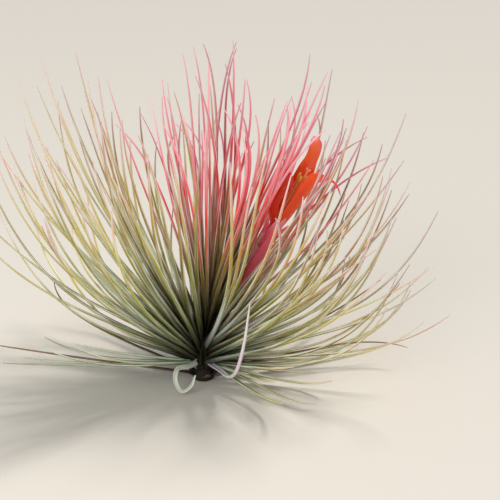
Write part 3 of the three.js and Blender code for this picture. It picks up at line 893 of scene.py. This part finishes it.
# %% [markdown]
# What the leaves stand on is turned: the woody stub, the two cores under the leaf sheaths, and the
# flower's stalk. A turned form is one outline of radius and height, swept round its axis. A Screw
# modifier would sweep it too. A few lines of arithmetic do the same, and let it lean and add small
# bumps, which keep it from looking machined. The outline is the frame's own, rounded.

# %% Turned forms
def placed(points, axis):
    """Points of an axis's own frame, in metres in the row frame. Height is counted from the crown."""
    side, rear, along = axis
    return (crown + points @ np.array([side, rear, along])) * MM


def mesh_of(name, points, faces, material, notes=()):
    """A smooth mesh with its material, and a note's values on its points."""
    mesh = bpy.data.meshes.new(name)
    mesh.from_pydata(points.tolist(), [], faces)
    mesh.materials.append(material)
    for note, values in dict(notes).items():
        attribute = mesh.attributes.new(note, "FLOAT", "POINT")
        attribute.data.foreach_set("value", np.asarray(values, float))
    mesh.shade_smooth()
    return mesh


LEAST_RADIUS = 0.01


def turned(name, outline, axis, material, sides=48, rings=40, bumps=0.0, base=-CROWN_HEIGHT):
    """A closed turned form. The outline goes from its foot on the axis to its top on the axis."""
    line = smooth_line(outline, rings)
    line[:, 1] = np.maximum(line[:, 1], outline[0][1])
    angles = np.arange(sides) * 2 * math.pi / sides
    radius = np.maximum(line[1:-1, 0], LEAST_RADIUS)[:, None]
    height = line[1:-1, 1][:, None]
    ridges = np.sin(5 * angles + 0.8 * height) * np.sin(1.7 * height + 2 * angles)
    ridges = ridges + 0.5 * np.sin(9 * angles - height)
    radius = radius * (1 + bumps * ridges)
    level = np.broadcast_to(height, radius.shape)
    around = np.stack([radius * np.cos(angles), radius * np.sin(angles), level], -1)
    points = np.concatenate([[[0, 0, line[0, 1]]], around.reshape(-1, 3), [[0, 0, line[-1, 1]]]])
    points[:, 2] += base
    count = len(line) - 2
    faces, last = [], len(points) - 1
    for i in range(sides):
        j = (i + 1) % sides
        faces.append((0, 1 + j, 1 + i))
        faces.append((last, last - sides + i, last - sides + j))
        for lower in range(1, 1 + (count - 1) * sides, sides):
            faces.append((lower + i, lower + j, lower + sides + j, lower + sides + i))
    share = np.clip((points[:, 2] - points[0, 2]) / (points[-1, 2] - points[0, 2]), 0, 1)
    return mesh_of(name, placed(points, axis), faces, material, {"share": share})


print("ready: turned forms from their outlines")

# %% [markdown]
# Bark, shaded sheaths, pollen and filaments differ in colour and gloss, but each has a fine grain.
# One noise makes it, with its scale worked out from the grain's real size, and the same noise lifts
# the surface a little. The stub and the cores lie in shade: their colours are painted dark as that
# shade, and they are without gloss.

# %% Grained finish
def grained_finish(name, stops, roughness, grain, relief, stretch=1.0, **surface):
    """A dull plant skin with grain of a real size in millimetres, drawn out upwards by stretch."""
    material, tree, shader = new_finish(name, roughness, **surface)
    place = add(tree, "ShaderNodeTexCoord")["Object"]
    drawn = add(tree, "ShaderNodeMapping", {"Vector": place, "Scale": (1, 1, 1 / stretch)})[0]
    grained = {"Vector": drawn, "Scale": 1 / (grain * MM), "Detail": 3.0}
    noise = add(tree, "ShaderNodeTexNoise", grained)["Fac"]
    colour = add(tree, "ShaderNodeValToRGB", {"Fac": noise}, stops=stops)[0]
    tree.links.new(colour, shader.inputs["Base Color"])
    bumps = {"Height": noise, "Strength": 0.7, "Distance": relief * MM}
    tree.links.new(add(tree, "ShaderNodeBump", bumps)[0], shader.inputs["Normal"])
    return material


print("ready: one finish for every skin with a grain")

# %% Stem stub
# Dead wood is rough and takes the light dully, in cracks about a millimetre apart. Its brown is
# painted near black, as painted shade under the crown
bark_and_shade_stops = ramp((0.3, 0.7), "#0e0906 #2e1f14")
bark = grained_finish("dry woody bark", bark_and_shade_stops, roughness=0.85, grain=1.1, relief=0.3)
STEM_FOOT = [(0, 0), (2, 0), (3.7, 0), (4.4, 0.9), (4.2, 2.6)]
STEM_OUTLINE = STEM_FOOT + [(3.4, 4.2), (2.4, 5.2), (2.2, 9.5), (0, 9.8)]
stub_mesh = turned("stem stub", STEM_OUTLINE, STEM_AXIS, bark, bumps=0.03)
show("stem_stub", stub_mesh, "stem")

# %% Cores under the sheaths
# Sheath bases seen deep between the leaves: ribbed upwards, without gloss, dark olive painted near
# black as shade
rib_and_shade_stops = ramp((0.36, 0.52, 0.7), "#060503 #17150a #302c16")
ribs = {"roughness": 0.95, "grain": 0.7, "relief": 0.4, "stretch": 8}
shade_skin = grained_finish("leaf sheaths in shade", rib_and_shade_stops, **ribs, Specular_IOR_Level=0.1)
GREEN_FOOT = [(0, -7.6), (2, -7.6), (3.9, -7.2), (5.2, -4)]
GREEN_CORE = GREEN_FOOT + [(5.8, 0), (5.6, 4), (4.6, 6.8), (2, 7), (0, 7)]
rosette_mesh = turned("rosette core", GREEN_CORE, ROSETTE_AXIS, shade_skin, base=0)
show("rosette_core", rosette_mesh, "green_leaves")
HEART_CORE = [(0, 4), (2.6, 4), (3, 9), (3.1, 13), (2.6, 20), (1.9, 24.6), (0, 25)]
heart_core_mesh = turned("heart core", HEART_CORE, HEART_AXIS, shade_skin, base=0)
show("heart_core", heart_core_mesh, "heart_leaves")

# %% [markdown]
# Petals, sepals, bract and dry sheaths are thin sheets that stand round an axis. Each is laid out as
# a grid: its middle line gives how far out and how high it runs, and it curls round the axis across
# that line. A plane with a Solidify modifier would be quicker to set up, but its rim stays square.
# Here two layers of the grid, a wall's thickness apart and closer at the rim, make a closed thin
# body with a soft edge.

# %% Faces of a sheet
def sheet_faces(columns, rows):
    """The faces of a sheet's two layers, and of the rim that closes them."""
    width, back = columns + 1, (columns + 1) * (rows + 1)
    faces = []
    for row in range(rows):
        for a in range(row * width, row * width + columns):
            faces.append((a, a + 1, a + width + 1, a + width))
            faces.append((back + a, back + a + width, back + a + width + 1, back + a + 1))
    edge = [*range(columns), *[row * width + columns for row in range(rows)]]
    edge += [*range(back - 1, back - 1 - columns, -1), *[row * width for row in range(rows, 0, -1)]]
    return faces + [(a, back + a, back + b, b) for a, b in zip(edge, edge[1:] + edge[:1])]


print("the sheet of a petal has", len(sheet_faces(24, 60)), "faces")

# %% Standing sheets
RIM_SHARE = 0.3


def standing_sheet(
    name, line, towards, half_width, bend, thickness, axis, material,
    base=0.0, lap=0.0, ripple=0.0, aside=0.0, shade=0.0, grid=(24, 60),
):
    """A closed thin sheet along a line, turned towards an azimuth and curled round its axis.

    Half its width and the radius that it curls to follow the share of the way up. It starts at the
    height of base, tips over by lap, ripples at its free edges and is drawn aside at its end. Shade is
    the share of painted shade on its colour.
    """
    columns, rows = grid
    u = np.linspace(-1, 1, columns + 1)[None, :, None]
    v = np.linspace(0, 1, rows + 1)
    middle = smooth_line(line, rows)
    heading = unit(np.gradient(middle, axis=0))
    turn = math.radians(towards)
    outward = np.array([math.cos(turn), math.sin(turn), 0.0])
    across = np.array([-math.sin(turn), math.cos(turn), 0.0])
    v3, at, go = v[:, None, None], middle[:, None, :], heading[:, None, :]
    radius = bend(v3)
    angle = u * half_width(v3) / radius
    face_out = outward * go[..., 1:2] - UP * go[..., 0:1]
    wave = ripple * np.sin(9 * v3 * math.pi + 2 * u) * np.abs(u) ** 3 * v3
    sideways = radius * np.sin(angle) + aside * v3**4
    points = outward * at[..., 0:1] + UP * (at[..., 1:2] + base) + across * sideways
    points = points + face_out * (radius * (np.cos(angle) - 1) + lap * u + wave)
    normal = unit(np.cross(np.gradient(points, axis=1), np.gradient(points, axis=0)))
    rim = np.sqrt(np.clip(1 - np.abs(u) ** 8, 0, 1) * np.clip(1 - v3**24, 0, 1))
    half = normal * thickness / 2 * np.maximum(rim, RIM_SHARE)
    layers = np.concatenate([(points + half).reshape(-1, 3), (points - half).reshape(-1, 3)])
    share = np.tile(np.repeat(v, columns + 1), 2)
    side = np.tile(np.tile(u.ravel(), rows + 1), 2)
    notes = {"share": share, "side": side, "shade": np.full(len(share), shade)}
    return mesh_of(name, placed(layers, axis), sheet_faces(columns, rows), material, notes)


def joined(name, meshes):
    """One mesh of several, with their notes."""
    pieces = [bpy.data.objects.new(name, mesh) for mesh in meshes]
    for piece in pieces:
        bpy.context.scene.collection.objects.link(piece)
    with bpy.context.temp_override(active_object=pieces[0], selected_editable_objects=pieces):
        bpy.ops.object.join()
    mesh = pieces[0].data
    bpy.data.objects.remove(pieces[0])
    return mesh


def tapering(half, less):
    """Half a width that narrows towards the end of a sheet, ever faster."""
    return lambda share: half - less * share * share


print("half a sepal is", round(tapering(2.4, 2.05)(1), 2), "mm wide at its tip")

# %% [markdown]
# A petal is thin, moist and satin. Light glows through it, so that its shade is scarlet and not
# black. Veins run from foot to tip, and the free edges turn pink. The left petal is darkened to deep
# red by painted shade. The veins are a wave across the sheet, which follows the petal however it
# curls, where an image would stretch. Bract and dry sheaths are built alike and take the same finish
# in other colours.

# %% Sheet finish
def sheet_finish(name, stops, roughness, veins, vein_colour, edge_colour, painted_shade_colour, **surface):
    """A thin plant sheet: colour along it, veins from foot to tip, another hue at far edges, painted
    shade.
    """
    material, tree, shader = new_finish(name, roughness, **surface)
    share = add(tree, "ShaderNodeAttribute", attribute_name="share")["Fac"]
    side = add(tree, "ShaderNodeAttribute", attribute_name="side")["Fac"]
    colour = add(tree, "ShaderNodeValToRGB", {"Fac": share}, stops=stops)[0]
    turns = add(tree, "ShaderNodeMath", {0: side, 1: veins * math.pi}, operation="MULTIPLY")[0]
    wave = add(tree, "ShaderNodeMath", {0: turns}, operation="COSINE")[0]
    crests = {"Value": wave, "From Min": 0.6, "From Max": 1.0, "To Max": 0.35}
    thin = add(tree, "ShaderNodeMapRange", crests)[0]
    lined = {0: thin, 6: colour, 7: linear(vein_colour)}
    veined = add(tree, "ShaderNodeMix", lined, data_type="RGBA")[2]
    out = add(tree, "ShaderNodeMath", {0: side}, operation="ABSOLUTE")[0]
    outer = add(tree, "ShaderNodeMapRange", {"Value": out, "From Min": 0.5, "From Max": 0.95})[0]
    upper = {"Value": share, "From Min": 0.66, "From Max": 0.9, "To Max": 0.8}
    far = add(tree, "ShaderNodeMapRange", upper)[0]
    edge = add(tree, "ShaderNodeMath", {0: outer, 1: far}, operation="MULTIPLY")[0]
    bordered = {0: edge, 6: veined, 7: linear(edge_colour)}
    edged = add(tree, "ShaderNodeMix", bordered, data_type="RGBA")[2]
    # Painted shade: the colour darkens towards the painted shade colour as far as the shade note says
    shade = add(tree, "ShaderNodeAttribute", attribute_name="shade")["Fac"]
    darkened = {0: shade, 6: edged, 7: linear(painted_shade_colour)}
    shaded = add(tree, "ShaderNodeMix", darkened, data_type="RGBA")[2]
    tree.links.new(shaded, shader.inputs["Base Color"])
    relief = {"Height": wave, "Strength": 0.25, "Distance": 0.05 * MM}
    tree.links.new(add(tree, "ShaderNodeBump", relief)[0], shader.inputs["Normal"])
    return material


# Moist and thin: light glows through it and a soft gloss lies on it
petal_skin = sheet_finish(
    "scarlet petal, satin",
    ramp((0, 0.12, 0.45, 0.7, 0.86, 1), "#f0a040 #fa561c #ff5210 #ff6a1c #ff7448 #f4507c"),
    roughness=0.42,
    veins=9,
    vein_colour="#cc2410",
    edge_colour="#e83c78",
    painted_shade_colour="#a00808",
    Sheen_Weight=0.15,
    Subsurface_Weight=0.6,
    Subsurface_Scale=3 * MM,
)
print("petal finish:", petal_skin.name)

# %% Petals
PETAL_WALL = 0.4
TIP_HALF = 0.6
ROUNDED_FROM = 0.8


def petal_bend(share):
    """The radius that a petal curls to: tight in the claw, open at the mouth."""
    return lerp(1.2, 6.2, share)


def petal_half_width(share, petal):
    """Half the width of a petal: it wraps the tube, narrows past the mouth and ends rounded."""
    start, end = petal["narrows"]
    past = np.clip((share - start) / (end - start), 0, 1)
    wrapped = petal["wrap"] * petal_bend(share)
    narrowed = lerp(wrapped, petal["lobe_half"], past * past * (3 - 2 * past))
    rounded = np.maximum(0, (share - ROUNDED_FROM) / (1 - ROUNDED_FROM)) ** 2
    return lerp(narrowed, TIP_HALF, rounded)


petal_meshes = [
    standing_sheet(
        "petal",
        CLAW + petal["line"],
        petal["towards"],
        lambda share, petal=petal: petal_half_width(share, petal),
        petal_bend,
        PETAL_WALL,
        FLOWER_AXIS,
        petal_skin,
        lap=0.4,
        ripple=0.25,
        aside=petal["aside"],
        shade=petal["shade"],
    )
    for petal in PETALS
]
show("scarlet_petals", joined("scarlet petals", petal_meshes), "petals")

# %% [markdown]
# The flower's stalk stands in the heart. Three sepals clasp the foot of the tube, and a bract laps
# over them in front. They are crimson, tougher and duller than a petal. At the stub hang the sheaths
# of leaves long gone: papery, brown, rippled by drying. All but the stalk are standing sheets.

# %% Stalk, sepals and bract
SEPAL_WALL = 0.5

# Firm and satin: the light stays on its surface and glows through no part of it
bract_skin = sheet_finish(
    "crimson bract, satin",
    ramp((0, 0.2, 0.6, 0.9, 1), "#c04c58 #e4566a #fa6480 #fc94a8 #e8aca0"),
    roughness=0.5,
    veins=7,
    vein_colour="#b83048",
    edge_colour="#f8a0b4",
    painted_shade_colour="#8c2034",
    Sheen_Weight=0.2,
)
STALK_SIDE = [(0, 12), (1.1, 12), (1.25, 13), (1.3, 34), (1.6, 38), (2.1, 44), (2.6, 50)]
STALK_OUTLINE = STALK_SIDE + [(3, 54), (2.4, 54.4), (1.9, 50), (0, 49.7)]
SEPAL_LINE = [(2.25, 49), (2.8, 53), (4.1, 58), (5.4, 62)]
BRACT_LINE = [(0.9, 34), (1.8, 40), (3, 49), (3.9, 56), (4.5, 61), (5.2, 65)]
stalk_meshes = [turned("stalk", STALK_OUTLINE, FLOWER_AXIS, bract_skin, base=0, bumps=0.01)]
curled = {"bend": evenly(3.2), "thickness": SEPAL_WALL, "axis": FLOWER_AXIS, "material": bract_skin}
for towards in (20, 140, 260):
    half = tapering(2.4, 2.05)
    stalk_meshes.append(standing_sheet("sepal", SEPAL_LINE, towards, half, **curled, grid=(12, 24)))
half = tapering(2.6, 2.25)
bract = standing_sheet("bract", BRACT_LINE, -70, half, **curled, ripple=0.15, grid=(12, 30))
stalk_mesh = joined("flower stalk and bract", [*stalk_meshes, bract])
show("flower_stalk_and_bract", stalk_mesh, "flower_stalk")

# %% Dry sheaths
SHEATH_COUNT = 7
SHEATH_WALL = 0.35
SHEATH_STEP = 0.13

# Dead and papery: rough, without gloss, bleached at the torn ends
papery_skin = sheet_finish(
    "dry papery sheath",
    ramp((0, 0.5, 1), "#1e150d #3c2c1c #6c5840"),
    roughness=0.8,
    veins=9,
    vein_colour="#1e140c",
    edge_colour="#84705a",
    painted_shade_colour="#1e140c",
)
sheath_meshes = []
for i in range(SHEATH_COUNT):
    step = SHEATH_STEP * i
    sheath = standing_sheet(
        "dry sheath",
        [(2.6, 1.2 + step), (5, 1.9 + step), (7.2, 3.4 + step), (8.6, 5)],
        11 + i * GOLDEN_ANGLE,
        tapering(2.2, 1.8),
        evenly(3.4),
        SHEATH_WALL,
        STEM_AXIS,
        papery_skin,
        base=-CROWN_HEIGHT,
        ripple=0.3,
        grid=(12, 20),
    )
    sheath_meshes.append(sheath)
show("dry_sheaths", joined("dry sheaths", sheath_meshes), "stem")

# %% [markdown]
# Inside the throat stand six stamens and one style. They are the same kind of thing as the leaves,
# a form swept along a line, so they come from the same tree with its section opened to a circle.

# %% Pollen and filaments
# Pollen is a dry powder, so the anthers are matt, with grains drawn coarser than the real ones
pollen_stops = ramp((0.35, 0.65), "#d08e18 #fad85c")
grit = {"roughness": 0.8, "grain": 0.3, "relief": 0.1}
pollen_skin = grained_finish("yellow pollen", pollen_stops, **grit, Sheen_Weight=0.3)
# A filament is moist and pale, a little deeper in colour in long faint streaks
filament_stops = ramp((0.3, 0.7), "#e8965a #f8cc90")
streaky = {"roughness": 0.5, "grain": 0.6, "relief": 0.03, "stretch": 6}
filament_skin = grained_finish("pale filament", filament_stops, **streaky)
print("thread finishes:", pollen_skin.name, "and", filament_skin.name)

# %% Stamens and style
# A corner of a thread's way is a distance from the flower's axis, an azimuth and a height
STAMENS = 6
STYLE_ARMS = 3
THROAT_FOOT = 53.4
ANTHER_HALF = 1.6


def thread(corners, thickness, steps=24):
    """A round thread through corners of radius, azimuth and height, thicker or thinner on its way."""
    places = [axis_point(FLOWER_AXIS, height, radius, azimuth) for radius, azimuth, height in corners]
    path = smooth_line(places, steps)
    widths = np.interp(np.linspace(0, 1, steps + 1), np.linspace(0, 1, len(thickness)), thickness)
    return strand({"path": path, "across": FLOWER_AXIS[0], "breadth": 1}, widths=widths, tone=0.5)


filaments, anthers = [], []
for i in range(STAMENS):
    azimuth = i * math.pi / 3
    top = 81 + i % 2
    way = [(0.35, azimuth, THROAT_FOOT), (0.7, azimuth, 58), (1.7, azimuth, 72), (1.9, azimuth, top)]
    filaments.append(thread(way, (0.7, 0.6, 0.5, 0.45)))
    ends = (1.9, azimuth, top - ANTHER_HALF), (1.9, azimuth, top + ANTHER_HALF)
    anthers.append(thread([ends[0], (1.95, azimuth, top), ends[1]], (0.3, 1.0, 1.2, 1.0, 0.3), 12))
filaments.append(thread([(0, 0, THROAT_FOOT), (0.05, 0, 70), (0.28, 0.8, 85.4)], (0.8, 0.6, 0.6)))
for i in range(STYLE_ARMS):
    azimuth = i * 2 * math.pi / 3
    way = [(0.28, 0.8, 84.6), (0.5, azimuth, 85.6), (1.1, azimuth, 86.4)]
    filaments.append(thread(way, (0.5, 0.7, 0.8, 0.3), 10))
circle = {"Upper_side": 0.5, "Keel": 0.5, "Edge_rise": 0.0, "Rings": 20}
filament_lines = lay_lines("filament lines", filaments)
filament_mesh = grow_mesh(filament_lines, blades, Finish=filament_skin, **circle)
anther_mesh = grow_mesh(lay_lines("anther lines", anthers), blades, Finish=pollen_skin, **circle)
thread_mesh = joined("stamens and style", [filament_mesh, anther_mesh])
show("stamens_and_style_threads", thread_mesh, "stamens_and_style")

# %% [markdown]
# The plant stands on a plain pale surface in soft light. A broad source stands high behind it to the
# right, far enough away to light the surface evenly, and draws a bright line along each leaf. A pale
# room and one weak source in front fill the shade.

# %% Floor
FLOOR_HALF = 6.0

floor_skin = new_finish("pale matt floor", roughness=0.9, Base_Color=linear("#d9d6d0"))[0]
quarters = ((-1, -1), (1, -1), (1, 1), (-1, 1))
floor_mesh = bpy.data.meshes.new("floor")
floor_mesh.from_pydata([(x * FLOOR_HALF, y * FLOOR_HALF, 0) for x, y in quarters], [], [(0, 1, 2, 3)])
floor_mesh.materials.append(floor_skin)
floor = bpy.data.objects.new("floor", floor_mesh)
bpy.context.scene.collection.objects.link(floor)
print("a floor", 2 * FLOOR_HALF, "m wide, so that its end stays out of sight")

# %% Light
ROOM_LIGHT = 0.45
SUN_STRENGTH = 2.6
SUN_SOFTNESS = math.radians(14)
SUN_FROM = Vector((0.75, 0.5, 1.2))
FILL_FROM = Vector((-0.5, -0.9, 0.5))
FILL_SIZE = 0.6
FILL_WATTS = 6
PLANT_MIDDLE = Vector((0, 0, 0.06))

world = bpy.data.worlds.new("pale room")
world.use_nodes = True
background = world.node_tree.nodes["Background"]
background.inputs["Color"].default_value = linear("#e6e8ea")
background.inputs["Strength"].default_value = ROOM_LIGHT
bpy.context.scene.world = world


def hang_lamp(name, lamp, place, aim):
    """A lamp in the scene, at a place and turned the way that it shines."""
    holder = bpy.data.objects.new(name, lamp)
    holder.location = place
    holder.rotation_euler = aim.to_track_quat("-Z", "Y").to_euler()
    bpy.context.scene.collection.objects.link(holder)


sun = bpy.data.lights.new("daylight", "SUN")
sun.energy, sun.angle, sun.color = SUN_STRENGTH, SUN_SOFTNESS, linear("#fff8ee")[:3]
hang_lamp("window behind", sun, (0, 0, 0), -SUN_FROM)
fill = bpy.data.lights.new("fill in front", "AREA")
fill.shape, fill.size, fill.energy, fill.color = "DISK", FILL_SIZE, FILL_WATTS, linear("#fff8f0")[:3]
hang_lamp("fill in front", fill, FILL_FROM, PLANT_MIDDLE - FILL_FROM)
bpy.context.scene.view_settings.view_transform = "Standard"
print("a soft sun of strength", SUN_STRENGTH, "and a fill of", FILL_WATTS, "W")
